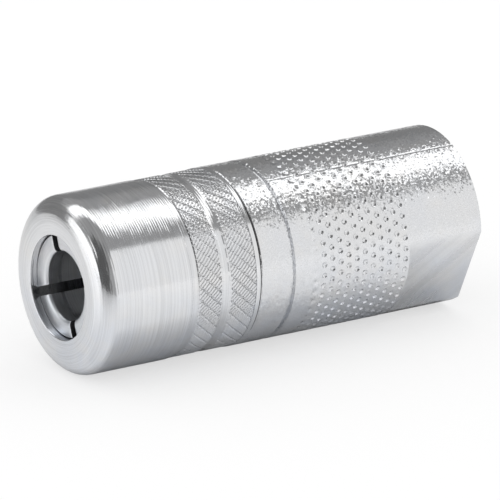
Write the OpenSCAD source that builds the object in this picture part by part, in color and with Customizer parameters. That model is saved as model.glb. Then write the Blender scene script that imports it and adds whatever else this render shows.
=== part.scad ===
// Four-jaw grease coupler, lying along X with its nose towards -X.
// The origin is the centre of the inlet thread's mouth, on the rear face. Sizes are in millimetres.

/* [Overall] */
// Outside diameter of the cap and of the body
outer_d = 15; // [14:0.1:18]
// Length of the cap, from the nose face to its rear rim
cap_len = 14.6; // [13:0.1:17]
// Length of the body behind the cap
body_len = 21.7; // [20.5:0.1:26]
// Open gap between the cap's rim and the body's shoulder
joint_gap = 0.2; // [0.1:0.05:0.4]
// Bevel on the rims that meet at the joint and on the rear edge
rim_bevel = 0.12; // [0.05:0.01:0.2]

/* [Cap] */
// Diameter of the mouth that the nipple goes into
mouth_d = 8.8; // [8.4:0.1:9.2]
// Length of the mouth's straight wall
mouth_land = 0.9; // [0.7:0.05:1.2]
// Radius of the mouth's rounded edge
mouth_round = 0.5; // [0.3:0.05:0.6]
// Radius of the rounded nose
nose_round = 1.4; // [0.8:0.1:2]
// Half angle of the inner cone that closes the jaws, in degrees
cone_angle = 20; // [16:1:24]
// Wall between the cap's thread and its outside
cap_wall = 1; // [0.8:0.05:1.3]
// Width of the cap's inner shoulder, which seats on the spigot
cap_seat = 0.4; // [0.3:0.05:0.6]
// Radial clearance in the thread between the cap and the spigot
cap_thread_gap = 0.05; // [0.02:0.01:0.1]

/* [Grip bands on the cap] */
// Width of the plain rim behind the rear knurl
rim_w = 0.31; // [0.25:0.01:0.5]
// Width of the rear knurled band
rear_knurl_w = 2.39; // [2:0.01:2.8]
// Width of the smooth groove between the knurled bands
grip_groove_w = 0.95; // [0.6:0.01:1.3]
// Width of the front knurled band
front_knurl_w = 2.09; // [1.7:0.01:2.5]
// Width of the shallow relief in front of the knurled bands
relief_w = 0.76; // [0.5:0.01:1]
// Depth of the smooth groove
grip_groove_depth = 0.2; // [0.1:0.01:0.3]
// Depth of the relief
relief_depth = 0.12; // [0.05:0.01:0.2]
// Width of the sloping sides of the smooth groove and the relief
grip_side = 0.12; // [0.05:0.01:0.2]

/* [Body] */
// Length of the plain band in front of the narrow groove
band_w = 2.82; // [2:0.01:4]
// Width of the narrow groove
groove_w = 0.42; // [0.3:0.01:0.6]
// Depth of the narrow groove
groove_depth = 0.3; // [0.15:0.01:0.4]
// Width of the narrow groove's sloping sides
groove_side = 0.1; // [0.05:0.01:0.12]
// Size across the wrench flats
across_flats = 13; // [12.5:0.1:13.6]
// Length of the wrench flats
flat_len = 7.2; // [6:0.1:9]
// Roll of the wrench flats about the axis, in degrees from +Y
flat_roll = 26.5; // [0:0.5:90]
// Nominal diameter of the inlet thread
inlet_d = 10; // [9:0.5:10.5]
// Pitch of the inlet thread
inlet_pitch = 1; // [0.75:0.25:1.25]
// Depth of the inlet thread
inlet_depth = 8.5; // [7.5:0.1:9]
// Bevel at the mouth of the inlet thread
inlet_bevel = 0.45; // [0.2:0.05:0.5]
// Point angle of the drilled inlet, in degrees
drill_angle = 118; // [90:1:120]
// Bevel on the front of the spigot
spigot_bevel = 0.15; // [0.05:0.05:0.2]

/* [Dimples on the body] */
// Plain length between the narrow groove and the dimples
dimple_lead = 1.66; // [1:0.01:2.5]
// Columns of dimples from there to the flats
dimple_columns = 8; // [6:1:9]
// Dimples in one column
dimples_around = 39; // [30:1:42]
// Diameter of a dimple
dimple_d = 0.5; // [0.4:0.01:0.7]
// Depth of a dimple
dimple_depth = 0.14; // [0.08:0.01:0.2]
// Roll of the first dimple about the axis, in degrees from +Y
dimple_roll = 160; // [0:0.5:359.5]

/* [Jaws] */
// How far the jaws' front faces lie behind the nose face
jaw_recess = 0.55; // [0.4:0.05:0.7]
// Length of a jaw
jaw_len = 6.75; // [6:0.05:7.5]
// Diameter of the jaws' throat
throat_d = 5.8; // [5.4:0.1:6.2]
// Length of the throat's straight wall
throat_len = 0.65; // [0.5:0.05:0.9]
// Radius of the rounded edge that leads into the throat
lead_round = 0.4; // [0.25:0.05:0.6]
// Width of the slots between the jaws
slot_w = 0.78; // [0.5:0.02:1]
// Rearward travel of the piston and the jaws
jaw_travel = 1.5; // [1.2:0.1:1.7]
// Gap between the jaws and the cone, square to the cone
cone_gap = 0.04; // [0.02:0.01:0.08]
// Roll of the first jaw's middle about the axis, in degrees from +Y
jaw_roll = 23.5; // [0:0.5:89.5]
// Wire of the ring that spreads the jaws
ring_wire_d = 0.66; // [0.5:0.02:0.7]
// Distance from the jaws' rear faces to the middle of the ring
ring_back = 0.75; // [0.6:0.05:1]
// How far the ring stands out of its groove
ring_stand = 0.08; // [0.02:0.02:0.1]

/* [Piston and seal] */
// Diameter of the bore that the piston slides in
bore_d = 9.4; // [9.2:0.1:9.8]
// Radial clearance of the piston in its bore
piston_gap = 0.06; // [0.03:0.01:0.1]
// Length of the piston, without its boss
piston_len = 5.4; // [5.2:0.1:6]
// Diameter of the boss that centres the main spring
boss_d = 7; // [6:0.1:7.2]
// Length of that boss
boss_len = 1.5; // [1:0.1:2]
// Diameter of the grease channel through the piston
channel_d = 2.4; // [1.8:0.1:2.8]
// Diameter of the seal
seal_d = 6.6; // [6.2:0.1:6.8]
// How far the seal stands in front of the piston
seal_stand = 1.3; // [1:0.1:1.6]
// Depth of the seal's neck in the piston
seal_neck = 2; // [1.8:0.1:2.2]
// Thickness of the seal's rear flange
flange_t = 0.8; // [0.6:0.1:0.9]
// How far that flange is wider than the seal, on each side
flange_lip = 0.3; // [0.2:0.05:0.4]
// Diameter of the hole through the seal
seal_hole_d = 2; // [1.6:0.1:2.4]
// Width of the seal's flat front rim
seal_rim = 0.7; // [0.5:0.05:0.9]
// Clearance of the seal in the piston
seal_gap = 0.03; // [0.01:0.01:0.05]
// Section of the piston's sealing ring
o_ring_d = 1.2; // [1:0.05:1.3]
// Clearance round the sealing ring
o_ring_gap = 0.02; // [0.01:0.01:0.05]

/* [Springs and check valve] */
// Wire of the main spring
main_wire_d = 0.7; // [0.6:0.05:0.75]
// Active turns of the main spring
main_turns = 2.5; // [2:0.5:3]
// Radial room between the main spring and the bore
main_room = 0.25; // [0.15:0.05:0.3]
// Diameter of the check ball
ball_d = 4; // [3.8:0.1:4.2]
// Radial room round the ball for the grease
ball_room = 0.4; // [0.3:0.05:0.6]
// Gap between the resting ball and its seat
ball_gap = 0.03; // [0.01:0.01:0.05]
// Diameter of the passage under the ball
passage_d = 2.4; // [2:0.1:2.6]
// Shortest length of that passage
passage_len = 0.9; // [0.6:0.1:1.2]
// Wire of the check spring
check_wire_d = 0.3; // [0.25:0.05:0.35]
// Mean diameter of the check spring
check_spring_d = 2.4; // [2.2:0.1:2.6]
// Working length of the check spring
check_spring_len = 2.4; // [2.2:0.1:2.6]
// Active turns of the check spring
check_turns = 2; // [1.5:0.5:2.5]
// Thickness of the spring seat
seat_t = 0.8; // [0.6:0.1:1]
// Length of the stub that centres the check spring
stub_len = 0.5; // [0.3:0.1:0.6]
// Diameter of the hole through the spring seat
seat_hole_d = 1.4; // [1.2:0.1:1.5]

/* [Hidden] */
$fn = 64;

// Overshoot of cutting shapes past the faces they cut
cut = 1;
// Face-to-face gap between pieces that press on each other but belong to different bodies
seat_gap = 0.03;
// Room behind the fully retracted jaws
end_room = 0.2;
// Radial room round the fully opened jaws
open_room = 0.1;
// Radial room between the jaws and the seal inside them
seal_room = 0.3;
// Clearance round the jaw ring in its groove
ring_gap = 0.05;
// Open part of the jaw ring, in degrees
ring_open = 40;
// Radial clearance of the loose fits inside the bore
loose_gap = 0.05;
// Height of the basic thread form for each millimetre of pitch
thread_form = 1.0825;
// Half angle of the ball's conical seat, in degrees
seat_angle = 45;
// Pitch of a spring's closed end turns, as a multiple of its wire
closed_pitch = 1.08;
// Sides of the balls that cut the dimples
dimple_sides = 16;
// Sides of a spring's wire and steps in each of its turns
wire_sides = 8;
turn_steps = 24;

outer_r = outer_d / 2;
shoulder_s = cap_len + joint_gap;
total_len = shoulder_s + body_len;

// Radii of the cap's inside, from the outside inwards
cap_bore_r = outer_r - cap_wall;
chamber_r = cap_bore_r - cap_seat;
mouth_r = mouth_d / 2;
jaw_r = chamber_r - open_room - jaw_travel * tan(cone_angle);

// Distances from the nose face along the axis, from the jaws back to the main spring
jaw_rear_s = jaw_recess + jaw_len;
piston_s = jaw_rear_s + seat_gap;
spigot_s = jaw_rear_s + jaw_travel + end_room;
piston_rear_s = piston_s + piston_len;

// Radii of the jaws and of the ring in them
throat_r = throat_d / 2;
cavity_r = seal_d / 2 + seal_room;
ring_r = cavity_r + ring_wire_d / 2 - ring_stand;
ring_s = jaw_rear_s - ring_back;
ring_groove_r = ring_r + ring_wire_d / 2 + ring_gap;
ring_groove_w = ring_wire_d + 2 * ring_gap;

// Bore, piston and its sealing ring
bore_r = bore_d / 2;
piston_r = bore_r - piston_gap;
recess_s = piston_s + seal_neck;
recess_end_s = recess_s + flange_t + seal_gap;
o_ring_r = bore_r - o_ring_gap - o_ring_d / 2;
o_groove_r = o_ring_r - o_ring_d / 2 - o_ring_gap;
o_groove_w = o_ring_d + 2 * o_ring_gap;
o_ring_s = (recess_end_s + piston_rear_s) / 2;

// Distances along the axis from the inlet forward to the main spring
inlet_r = (inlet_d - thread_form * inlet_pitch) / 2;
passage_r = passage_d / 2;
inlet_s = total_len - inlet_depth;
drill_tip_s = inlet_s - (inlet_r - passage_r) / tan(drill_angle / 2);
check_r = ball_d / 2 + ball_room;
seat_end_s = drill_tip_s - passage_len;
seat_start_s = seat_end_s - (check_r - passage_r) / tan(seat_angle);
cone_tip_s = seat_end_s + passage_r / tan(seat_angle);
ball_s = cone_tip_s - (ball_d / 2 + ball_gap) / sin(seat_angle);
check_reach = (ball_d + check_wire_d) / 2 + seat_gap;
check_end_s = ball_s - sqrt(check_reach * check_reach - check_spring_d * check_spring_d / 4)
    + check_wire_d / 2;
floor_s = check_end_s - check_spring_len;
seat_s = floor_s - seat_t;
main_r = bore_r - main_room - main_wire_d / 2;
stub_r = (check_spring_d - check_wire_d) / 2 - loose_gap;

// Where the flats and the dimples start, and the dimples' steps and balls
flat_s = total_len - flat_len;
dimple_s = shoulder_s + band_w + groove_w + dimple_lead;
dimple_pitch = (flat_s - dimple_s) / dimple_columns;
dimple_step = 360 / dimples_around;
dimple_ball_r = (dimple_d * dimple_d / 4 + dimple_depth * dimple_depth) / (2 * dimple_depth);
dimple_ball_x = outer_r - dimple_depth + dimple_ball_r;

// Where each band of the cap starts, counted from the rim forwards
rear_knurl_s = cap_len - rim_w - rear_knurl_w;
grip_groove_s = rear_knurl_s - grip_groove_w;
relief_s = grip_groove_s - front_knurl_w - relief_w;

// Turns a shape drawn along +Z from the nose face into the lying part
module lie() {
    translate([-total_len, 0, 0]) rotate([0, 90, 0]) children();
}

// Turns a shape about the axis, so that its own X points at an angle from the lying part's +Y
module roll(angle) {
    rotate([0, 0, angle + 90]) children();
}

// Waste left outside a round of radius r in a corner at the origin
module corner_waste(r) {
    difference() {
        translate([-cut, -cut]) square(r + cut);
        translate([r, r]) circle(r = r);
        translate([r, -cut]) square([cut, r + cut]);
        translate([-cut, r]) square([r + cut, cut]);
    }
}

// Waste of a groove with sloping sides, cut into the outside of a turned piece
module groove_waste(start, width, depth, side) {
    polygon([
        [outer_r + cut, start],
        [outer_r, start],
        [outer_r - depth, start + side],
        [outer_r - depth, start + width - side],
        [outer_r, start + width],
        [outer_r + cut, start + width],
    ]);
}

// Waste of a bevel on the outer edge of a rim; side is 1 for a rear face and -1 for a front one
module rim_waste(end, side) {
    polygon([
        [outer_r - rim_bevel - cut, end + side * cut],
        [outer_r + cut, end + side * cut],
        [outer_r + cut, end - side * (rim_bevel + cut)],
    ]);
}

module nose_cap_profile() {
    cone_end_s = mouth_land + (chamber_r - mouth_r) / tan(cone_angle);
    difference() {
        square([outer_r, cap_len]);
        translate([outer_r, 0]) mirror([1, 0]) corner_waste(nose_round);
        translate([mouth_r, 0]) corner_waste(mouth_round);
        groove_waste(relief_s, relief_w, relief_depth, grip_side);
        groove_waste(grip_groove_s, grip_groove_w, grip_groove_depth, grip_side);
        rim_waste(cap_len, 1);
        polygon([
            [-cut, -cut],
            [mouth_r, -cut],
            [mouth_r, mouth_land],
            [chamber_r, cone_end_s],
            [chamber_r, spigot_s],
            [cap_bore_r, spigot_s],
            [cap_bore_r, cap_len + cut],
            [-cut, cap_len + cut],
        ]);
    }
}

module nose_cap() {
    color("silver") lie() rotate_extrude() nose_cap_profile();
}

module body_profile() {
    spigot_r = cap_bore_r - cap_thread_gap;
    difference() {
        polygon([
            [0, spigot_s],
            [spigot_r - spigot_bevel, spigot_s],
            [spigot_r, spigot_s + spigot_bevel],
            [spigot_r, shoulder_s],
            [outer_r, shoulder_s],
            [outer_r, total_len],
            [0, total_len],
        ]);
        groove_waste(shoulder_s + band_w, groove_w, groove_depth, groove_side);
        rim_waste(shoulder_s, -1);
        rim_waste(total_len, 1);
        polygon([
            [-cut, spigot_s - cut],
            [bore_r, spigot_s - cut],
            [bore_r, floor_s],
            [check_r, floor_s],
            [check_r, seat_start_s],
            [passage_r, seat_end_s],
            [passage_r, drill_tip_s],
            [inlet_r, inlet_s],
            [inlet_r, total_len - inlet_bevel],
            [inlet_r + inlet_bevel + cut, total_len + cut],
            [-cut, total_len + cut],
        ]);
    }
}

// Waste of the dimples: staggered columns of small balls that dip into the body's outside
module dimple_waste() {
    for (column = [0 : dimple_columns - 1])
        for (place = [0 : dimples_around - 1])
            roll(dimple_roll + (place + column % 2 / 2) * dimple_step)
                translate([dimple_ball_x, 0, dimple_s + (column + 0.5) * dimple_pitch])
                    sphere(r = dimple_ball_r, $fn = dimple_sides);
}

module body() {
    color("silver") lie() difference() {
        rotate_extrude() body_profile();
        for (side = [0, 180])
            roll(flat_roll + side)
                translate([across_flats / 2, -outer_d, flat_s])
                    cube([outer_d, 2 * outer_d, flat_len + cut]);
        dimple_waste();
    }
}

// Radius of the jaws' outer cone at a distance from the nose face
function jaw_cone_r(s) = mouth_r - cone_gap / cos(cone_angle) + (s - mouth_land) * tan(cone_angle);

module jaw_profile() {
    throat_end_s = jaw_recess + lead_round + throat_len;
    cone_end_s = mouth_land + (jaw_r - jaw_cone_r(mouth_land)) / tan(cone_angle);
    difference() {
        polygon([
            [throat_r, jaw_recess],
            [jaw_cone_r(jaw_recess), jaw_recess],
            [jaw_r, cone_end_s],
            [jaw_r, jaw_rear_s],
            [cavity_r, jaw_rear_s],
            [cavity_r, throat_end_s + cavity_r - throat_r],
            [throat_r, throat_end_s],
        ]);
        translate([throat_r, jaw_recess]) corner_waste(lead_round);
        translate([cavity_r - cut, ring_s - ring_groove_w / 2])
            square([ring_groove_r - cavity_r + cut, ring_groove_w]);
    }
}

// One jaw: a quarter of the ring of jaws, less half a slot on each side
module jaw(index) {
    color("darkgray") lie() roll(jaw_roll + 90 * index - 45) difference() {
        rotate_extrude(angle = 90) jaw_profile();
        translate([-cut, -cut, jaw_recess - cut]) cube([outer_d, slot_w / 2 + cut, jaw_len + 2 * cut]);
        translate([-cut, -cut, jaw_recess - cut]) cube([slot_w / 2 + cut, outer_d, jaw_len + 2 * cut]);
    }
}

module jaw_ring() {
    color("dimgray") lie() roll(jaw_roll + 45 + ring_open / 2)
        rotate_extrude(angle = 360 - ring_open)
            translate([ring_r, ring_s]) circle(d = ring_wire_d);
}

module seal() {
    front_s = piston_s - seal_stand;
    seal_r = seal_d / 2;
    hole_r = seal_hole_d / 2;
    rim_r = seal_r - seal_rim;
    flange_r = seal_r + flange_lip;
    color("dimgray") lie() rotate_extrude() polygon([
        [rim_r, front_s],
        [seal_r, front_s],
        [seal_r, recess_s + seal_gap],
        [flange_r, recess_s + seal_gap],
        [flange_r, recess_s + flange_t],
        [hole_r, recess_s + flange_t],
        [hole_r, front_s + rim_r - hole_r],
    ]);
}

module piston() {
    channel_r = channel_d / 2;
    recess_r = seal_d / 2 + seal_gap;
    color("lightgray") lie() rotate_extrude() difference() {
        polygon([
            [recess_r, piston_s],
            [piston_r, piston_s],
            [piston_r, piston_rear_s],
            [boss_d / 2, piston_rear_s],
            [boss_d / 2, piston_rear_s + boss_len],
            [channel_r, piston_rear_s + boss_len],
            [channel_r, recess_end_s],
            [recess_r + flange_lip, recess_end_s],
            [recess_r + flange_lip, recess_s],
            [recess_r, recess_s],
        ]);
        translate([o_groove_r, o_ring_s - o_groove_w / 2]) square([bore_r, o_groove_w]);
    }
}

module piston_o_ring() {
    color("black") lie() rotate_extrude() translate([o_ring_r, o_ring_s]) circle(d = o_ring_d);
}

// Height of a spring's wire above its first turn: closed turns at both ends, open ones between
function coil_rise(turn, active, closed, open) =
    turn < 1 ? closed * turn
    : turn < 1 + active ? closed + open * (turn - 1)
    : closed * (turn - active) + open * active;

// Compression spring that fills a length along +Z
module coil_spring(mean_r, wire_d, length, active) {
    closed = closed_pitch * wire_d;
    open = (length - wire_d - 2 * closed) / active;
    steps = ceil((active + 2) * turn_steps);
    points = [
        for (i = [0 : steps], k = [0 : wire_sides - 1])
            let (turn = i * (active + 2) / steps, a = 360 * turn, b = 360 * k / wire_sides,
                 r = mean_r + wire_d / 2 * cos(b))
            [r * cos(a), r * sin(a), wire_d / 2 * (1 + sin(b)) + coil_rise(turn, active, closed, open)]
    ];
    sides = [
        for (i = [0 : steps - 1], k = [0 : wire_sides - 1])
            let (next = (k + 1) % wire_sides)
            [i * wire_sides + k, i * wire_sides + next,
             (i + 1) * wire_sides + next, (i + 1) * wire_sides + k]
    ];
    start = [for (k = [wire_sides - 1 : -1 : 0]) k];
    end = [for (k = [0 : wire_sides - 1]) steps * wire_sides + k];
    polyhedron(points, concat(sides, [start, end]), convexity = 10);
}

module main_spring() {
    start_s = piston_rear_s + seat_gap;
    color("gray") lie() translate([0, 0, start_s])
        coil_spring(main_r, main_wire_d, seat_s - seat_gap - start_s, main_turns);
}

module spring_seat() {
    seat_r = bore_r - loose_gap;
    hole_r = seat_hole_d / 2;
    color("lightgray") lie() rotate_extrude() polygon([
        [hole_r, seat_s],
        [seat_r, seat_s],
        [seat_r, floor_s],
        [stub_r, floor_s],
        [stub_r, floor_s + stub_len],
        [hole_r, floor_s + stub_len],
    ]);
}

module check_spring() {
    color("gray") lie() translate([0, 0, floor_s + seat_gap])
        coil_spring(check_spring_d / 2, check_wire_d, check_spring_len - seat_gap, check_turns);
}

module check_ball() {
    color("gainsboro") lie() translate([0, 0, ball_s]) sphere(d = ball_d);
}

nose_cap();
body();
jaw(0);  // jaw_1
jaw(1);  // jaw_2
jaw(2);  // jaw_3
jaw(3);  // jaw_4
jaw_ring();
seal();
piston();
piston_o_ring();
main_spring();
spring_seat();
check_spring();
check_ball();
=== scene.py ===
"""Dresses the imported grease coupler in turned, knurled and dimpled zinc-plated steel, and sets the studio."""

import math

import bmesh
import bpy
from bpy.props import FloatProperty, FloatVectorProperty, IntProperty, PointerProperty
from bpy.types import Operator, Panel, PropertyGroup
from mathutils import Euler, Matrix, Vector


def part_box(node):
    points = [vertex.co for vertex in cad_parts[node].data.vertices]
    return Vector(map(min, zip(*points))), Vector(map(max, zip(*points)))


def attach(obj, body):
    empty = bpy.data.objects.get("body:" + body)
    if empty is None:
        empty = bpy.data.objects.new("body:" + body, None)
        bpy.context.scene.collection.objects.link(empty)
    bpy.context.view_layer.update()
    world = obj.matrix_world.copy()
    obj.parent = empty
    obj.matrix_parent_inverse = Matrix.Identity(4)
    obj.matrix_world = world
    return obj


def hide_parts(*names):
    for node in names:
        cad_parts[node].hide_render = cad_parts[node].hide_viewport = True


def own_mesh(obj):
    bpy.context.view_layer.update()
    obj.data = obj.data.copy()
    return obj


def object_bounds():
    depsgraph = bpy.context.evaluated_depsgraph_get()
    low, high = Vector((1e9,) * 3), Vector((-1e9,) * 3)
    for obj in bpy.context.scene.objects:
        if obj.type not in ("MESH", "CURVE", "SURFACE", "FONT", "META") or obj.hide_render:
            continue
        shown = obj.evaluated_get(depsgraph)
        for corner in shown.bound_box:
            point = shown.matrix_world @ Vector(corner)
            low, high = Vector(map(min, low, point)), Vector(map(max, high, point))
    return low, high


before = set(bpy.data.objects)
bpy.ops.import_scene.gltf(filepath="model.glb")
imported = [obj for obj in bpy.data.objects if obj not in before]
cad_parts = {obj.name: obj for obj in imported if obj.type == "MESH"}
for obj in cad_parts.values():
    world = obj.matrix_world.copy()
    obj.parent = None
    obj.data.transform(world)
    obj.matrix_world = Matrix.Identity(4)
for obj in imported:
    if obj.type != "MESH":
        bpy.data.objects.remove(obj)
CAD_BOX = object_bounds()

bl_info = {
    "name": "Grease Coupler",
    "version": (1, 0, 0),
    "blender": (4, 5, 0),
    "location": "View3D > Sidebar > Coupler",
    "description": "Builds a four-jaw grease coupler around its packed solids",
    "category": "Object",
}

MM = 0.001
TURN = 2 * math.pi
NOSE_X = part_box("nose_cap")[0].x
REAR_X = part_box("body")[1].x
MIDDLE = (CAD_BOX[0] + CAD_BOX[1]) / 2
WHITE = (1.0, 1.0, 1.0, 1.0)


# Settings

def length(name, description, millimetres):
    return FloatProperty(
        name=name, description=description, default=millimetres * MM, unit="LENGTH", precision=6
    )


def angle(name, description, degrees):
    return FloatProperty(
        name=name, description=description, default=math.radians(degrees), subtype="ANGLE"
    )


def share(name, description, value):
    return FloatProperty(
        name=name, description=description, default=value, min=0.0, max=1.0, subtype="FACTOR"
    )


def number(name, description, value):
    return FloatProperty(name=name, description=description, default=value)


def count(name, description, value):
    return IntProperty(name=name, description=description, default=value, min=1)


def colour(name, description, value):
    return FloatVectorProperty(
        name=name, description=description, default=value, size=3, min=0.0, max=1.0, subtype="COLOR"
    )


class CapSettings(PropertyGroup):
    """Sizes of the nose cap, as distances from the nose face and radii."""

    outer_radius: length("Outer radius", "Radius of the cap's outside", 7.5)
    rim_end: length("Rim end", "Distance of the rear rim from the nose face", 14.73)
    rim_bevel: length("Rim bevel", "Bevel on the rear rim", 0.06)
    crest: length("Crest", "How far the rounded nose stands out from the nose face", 0.31)
    crest_radius: length("Crest radius", "Radius of the nose's foremost line", 5.4)
    nose_depth: length("Nose depth", "Length of the rounded nose along the axis", 1.62)
    mouth_edge: length("Mouth edge", "How far the mouth's edge stands out from the nose face", 0.24)
    edge_radius: length("Edge radius", "Radius of the mouth's edge", 4.36)
    edge_round: length("Edge round", "Radius of the round along the mouth's edge", 0.1)
    mouth_radius: length("Mouth radius", "Radius of the mouth where the cone begins", 4.37)
    mouth_land: length("Mouth land", "Distance of the cone's beginning from the nose face", 0.47)
    cone_angle: angle("Cone angle", "Half angle of the inner cone", 20)
    chamber_radius: length("Chamber radius", "Radius of the room behind the cone", 6.1)
    bore_radius: length("Bore radius", "Radius of the bore over the body's spigot", 6.5)
    bore_start: length("Bore start", "Distance of the bore's shoulder from the nose face", 9.0)
    relief_start: length("Relief start", "Start of the relief in front of the knurls", 8.1)
    relief_depth: length("Relief depth", "Depth of the relief", 0.12)
    relief_side: length("Relief side", "Width of the relief's sloping sides", 0.12)
    groove_depth: length("Groove depth", "Depth of the smooth groove between the knurls", 0.11)
    groove_side: length("Groove side", "Width of the smooth groove's sloping sides", 0.24)
    segments: count("Segments", "Segments round the plain parts of the cap", 123)


class GripSettings(PropertyGroup):
    """The two knurled bands of the cap."""

    front_start: length("Front band start", "Start of the front band", 8.86)
    front_end: length("Front band end", "End of the front band", 10.95)
    rear_start: length("Rear band start", "Start of the rear band", 11.9)
    rear_end: length("Rear band end", "End of the rear band", 14.29)
    drop: length("Drop", "How far the bands lie below the cap's outside", 0.05)
    lines: count("Lines", "Lines of each slant round the cap", 123)
    axial_pitch: length("Axial pitch", "Distance between lines along the axis", 0.39)
    depth: length("Depth", "Depth of the main lines", 0.06)
    cross_depth: length("Cross depth", "Depth of the crossing lines", 0.014)
    deep_lines: count("Deep lines", "Deeper crossing lines round the cap", 41)
    deep_depth: length("Deep line depth", "Extra depth of the deeper crossing lines", 0.08)
    land: share("Land", "Share of half a line's spacing that stays plain", 0.7)
    cross_land: share("Cross land", "The same share for the crossing lines", 0.76)
    deep_land: share("Deep land", "The same share for the deeper crossing lines", 0.74)
    end_share: share("End share", "Share of the depth along the ends of the bands", 0.4)
    detail: count("Detail", "Points across one line of the knurl", 7)


class BodySettings(PropertyGroup):
    """Sizes of the body, as distances from the nose face and radii."""

    outer_radius: length("Outer radius", "Radius of the body's outside", 7.5)
    spigot_start: length("Spigot start", "Front of the spigot inside the cap", 9.0)
    spigot_radius: length("Spigot radius", "Radius of the spigot", 6.45)
    spigot_bevel: length("Spigot bevel", "Bevel on the spigot's front", 0.15)
    shoulder: length("Shoulder", "Distance of the shoulder behind the cap's rim", 14.8)
    rim_bevel: length("Rim bevel", "Bevel on the shoulder and the rear edge", 0.08)
    groove_start: length("Groove start", "Start of the narrow groove", 17.55)
    groove_end: length("Groove end", "End of the narrow groove", 18.09)
    groove_depth: length("Groove depth", "Depth of the narrow groove", 0.26)
    groove_side: length("Groove side", "Width of the groove's sloping sides", 0.11)
    flat_start: length("Flat start", "Front of the wrench flats", 29.3)
    flat_distance: length("Flat distance", "Distance of a flat from the axis", 6.5)
    flat_roll: angle("Flat roll", "Roll of the flats about the axis", 26.5)
    flat_bevel: length("Flat bevel", "Bevel where a flat meets the rear face", 0.05)
    bore_radius: length("Bore radius", "Radius of the piston's bore", 4.7)
    bore_floor: length("Bore floor", "Distance of the bore's floor from the nose face", 19.401)
    check_radius: length("Check radius", "Radius of the check valve's room", 2.4)
    seat_start: length("Seat start", "Start of the ball's conical seat", 23.942)
    passage_start: length("Passage start", "Start of the narrow passage", 25.142)
    passage_end: length("Passage end", "End of the narrow passage", 26.042)
    passage_radius: length("Passage radius", "Radius of the narrow passage", 1.2)


class DimpleSettings(PropertyGroup):
    """The dimpled band of the body."""

    start: length("Start", "Front of the dimpled band", 19.7)
    columns: count("Columns", "Columns of dimples along the axis", 12)
    around: count("Around", "Dimples in one column", 51)
    radius: length("Radius", "Radius of a dimple", 0.25)
    depth: length("Depth", "Depth of a dimple", 0.13)
    lip: share("Lip", "Height of the raised lip, as a share of the depth", 0.12)
    bowl_size: share("Bowl size", "Radius of the bowl's inner ring, as a share of the dimple's", 0.55)
    bowl_depth: share("Bowl depth", "Depth of that ring, as a share of the dimple's", 0.78)
    least: share("Least depth", "Smallest share of the depth, chosen at random", 0.7)
    front_share: share("Front depth", "Share of the depth in the front column", 0.5)
    faded: count("Faded columns", "Columns until the dimples reach their full depth", 1)
    roll: angle("Roll", "Roll of the first dimple about the axis", 160.27)
    seed: count("Seed", "Seed of the random depths", 7)


class ThreadSettings(PropertyGroup):
    """The inlet thread."""

    minor_radius: length("Minor radius", "Radius of the thread's crests", 4.459)
    depth: length("Depth", "Height of the thread", 0.541)
    pitch: length("Pitch", "Distance between turns", 1.0)
    crest_share: share("Crest share", "Share of half a pitch at which the crest's flat ends", 0.25)
    root_share: share("Root share", "Share of half a pitch at which the root's flat begins", 0.875)
    mouth_bevel: length("Mouth bevel", "Bevel at the thread's mouth", 0.45)
    end: length("End", "Distance of the thread's inner end from the nose face", 28.0)
    run_out: length("Run-out", "Length over which the thread fades at its ends", 0.6)
    detail: count("Detail", "Points along one turn's pitch", 10)


class JawSettings(PropertyGroup):
    """The four jaws."""

    front: length("Front", "Distance of the jaws' faces from the nose face", 0.42)
    rear: length("Rear", "Distance of the jaws' rear faces from the nose face", 7.3)
    cone_front: length("Cone front radius", "Outer radius of the jaws' front faces", 4.3)
    face_round: length("Face round", "Radius of the round along the faces' outer edges", 0.05)
    cone_end: length("Cone end", "Distance of the outer cone's end from the nose face", 3.49)
    radius: length("Radius", "Outer radius behind the cone", 5.454)
    throat: length("Throat", "Radius of the throat", 2.9)
    throat_end: length("Throat end", "End of the throat's straight wall", 1.6)
    lead: length("Lead", "Width of the rounded edge that leads into the throat", 0.45)
    lead_depth: length("Lead depth", "Depth of that edge", 0.28)
    cavity: length("Cavity", "Radius of the room behind the throat", 3.6)
    ring_place: length("Ring place", "Distance of the spreading ring from the nose face", 6.55)
    ring_groove: length("Ring groove", "Radius of the ring's groove", 4.23)
    ring_width: length("Ring groove width", "Width of the ring's groove", 0.76)
    slot: length("Slot", "Width of the slots between the jaws", 0.78)
    edge: length("Edge", "Width of the broken edges", 0.045)
    roll: angle("Roll", "Roll of the first jaw's middle about the axis", 23.5)
    steps: count("Steps", "Steps across a jaw", 22)


class SpringSettings(PropertyGroup):
    """The main spring and the check valve's spring."""

    main_radius: length("Main radius", "Mean radius of the main spring", 4.1)
    main_wire: length("Main wire", "Wire of the main spring", 0.7)
    main_turns: number("Main turns", "Open turns of the main spring", 2.5)
    main_travel: length("Main travel", "How far the main spring is pressed", 1.5)
    check_radius: length("Check radius", "Mean radius of the check spring", 1.2)
    check_wire: length("Check wire", "Wire of the check spring", 0.3)
    check_turns: number("Check turns", "Open turns of the check spring", 2.0)
    check_travel: length("Check travel", "How far the check spring is pressed", 0.8)
    closed_pitch: number("Closed pitch", "Pitch of the closed end turns, in wires", 1.08)
    turn_points: count("Turn points", "Points along one turn", 40)
    wire_points: count("Wire points", "Points round the wire", 12)


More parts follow.
